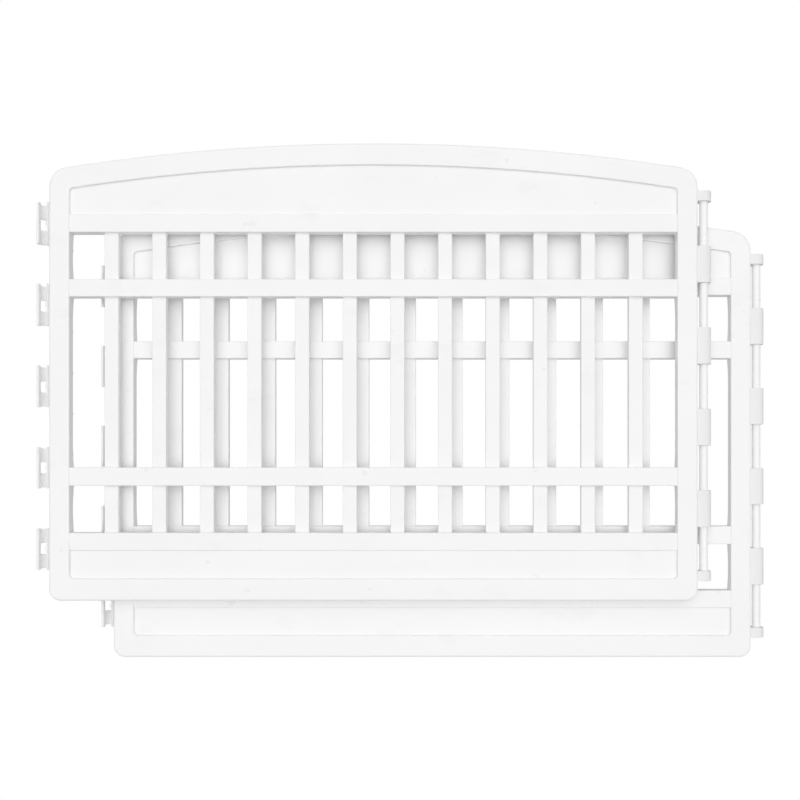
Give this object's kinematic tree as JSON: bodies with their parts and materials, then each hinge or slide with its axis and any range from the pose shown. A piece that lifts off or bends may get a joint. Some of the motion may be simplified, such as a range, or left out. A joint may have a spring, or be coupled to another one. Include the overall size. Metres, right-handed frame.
{
  "type": "pet playpen",
  "caption": "Moulded plastic playpen panels with vertical slats, an arched top, snap clips on one edge and a hinge rod on the other, stacked flat.",
  "frame": {"origin": "centre of the stacked pair's bounding box, on the floor", "axes": "+X across the panels towards the hinge rods, +Y up the panels towards the arches, +Z out of the front faces"},
  "size_m": [0.971, 0.6822, 0.0446],
  "materials": {
    "panel": "semi-gloss moulded",
    "rod": "smooth semi-gloss"
  },
  "bodies": {
    "lower_panel": {"lower_arched_top": "panel", "lower_bottom_sill": "panel", "lower_head_panel": "panel", "lower_head_rail": "panel", "lower_high_cross_rail": "panel", "lower_hook_clips": "panel", "lower_kick_panel": "panel", "lower_knuckles": "panel", "lower_left_stile": "panel", "lower_low_cross_rail": "panel", "lower_right_stile": "panel", "lower_rod_cap_bottom": "panel", "lower_rod_cap_top": "panel", "lower_sill_rail": "panel", "lower_slat_01": "panel", "lower_slat_02": "panel", "lower_slat_03": "panel", "lower_slat_04": "panel", "lower_slat_05": "panel", "lower_slat_06": "panel", "lower_slat_07": "panel", "lower_slat_08": "panel", "lower_slat_09": "panel", "lower_slat_10": "panel", "lower_slat_11": "panel", "lower_slat_12": "panel"},
    "lower_rod": {"lower_hinge_rod": "rod"},
    "upper_panel": {"upper_arched_top": "panel", "upper_bottom_sill": "panel", "upper_head_panel": "panel", "upper_head_rail": "panel", "upper_high_cross_rail": "panel", "upper_hook_clips": "panel", "upper_kick_panel": "panel", "upper_knuckles": "panel", "upper_left_stile": "panel", "upper_low_cross_rail": "panel", "upper_right_stile": "panel", "upper_rod_cap_bottom": "panel", "upper_rod_cap_top": "panel", "upper_sill_rail": "panel", "upper_slat_01": "panel", "upper_slat_02": "panel", "upper_slat_03": "panel", "upper_slat_04": "panel", "upper_slat_05": "panel", "upper_slat_06": "panel", "upper_slat_07": "panel", "upper_slat_08": "panel", "upper_slat_09": "panel", "upper_slat_10": "panel", "upper_slat_11": "panel", "upper_slat_12": "panel"},
    "upper_rod": {"upper_hinge_rod": "rod"}
  },
  "joints": [
    {"name": "lower_rod_turn", "type": "hinge", "parent": "lower_panel", "child": "lower_rod", "pos_m": [0.476, -0.34115, 0.0096], "axis": [0, 1, 0], "continuous": true},
    {"name": "upper_panel_lift", "type": "slide", "parent": "lower_panel", "child": "upper_rod", "axis": [0, 0, 1], "range_m": [0, 0.15]},
    {"name": "upper_panel_swing", "type": "hinge", "parent": "upper_rod", "child": "upper_panel", "pos_m": [0.3985, -0.26215, 0.032], "axis": [0, 1, 0], "range_deg": [0, 90]}
  ]
}
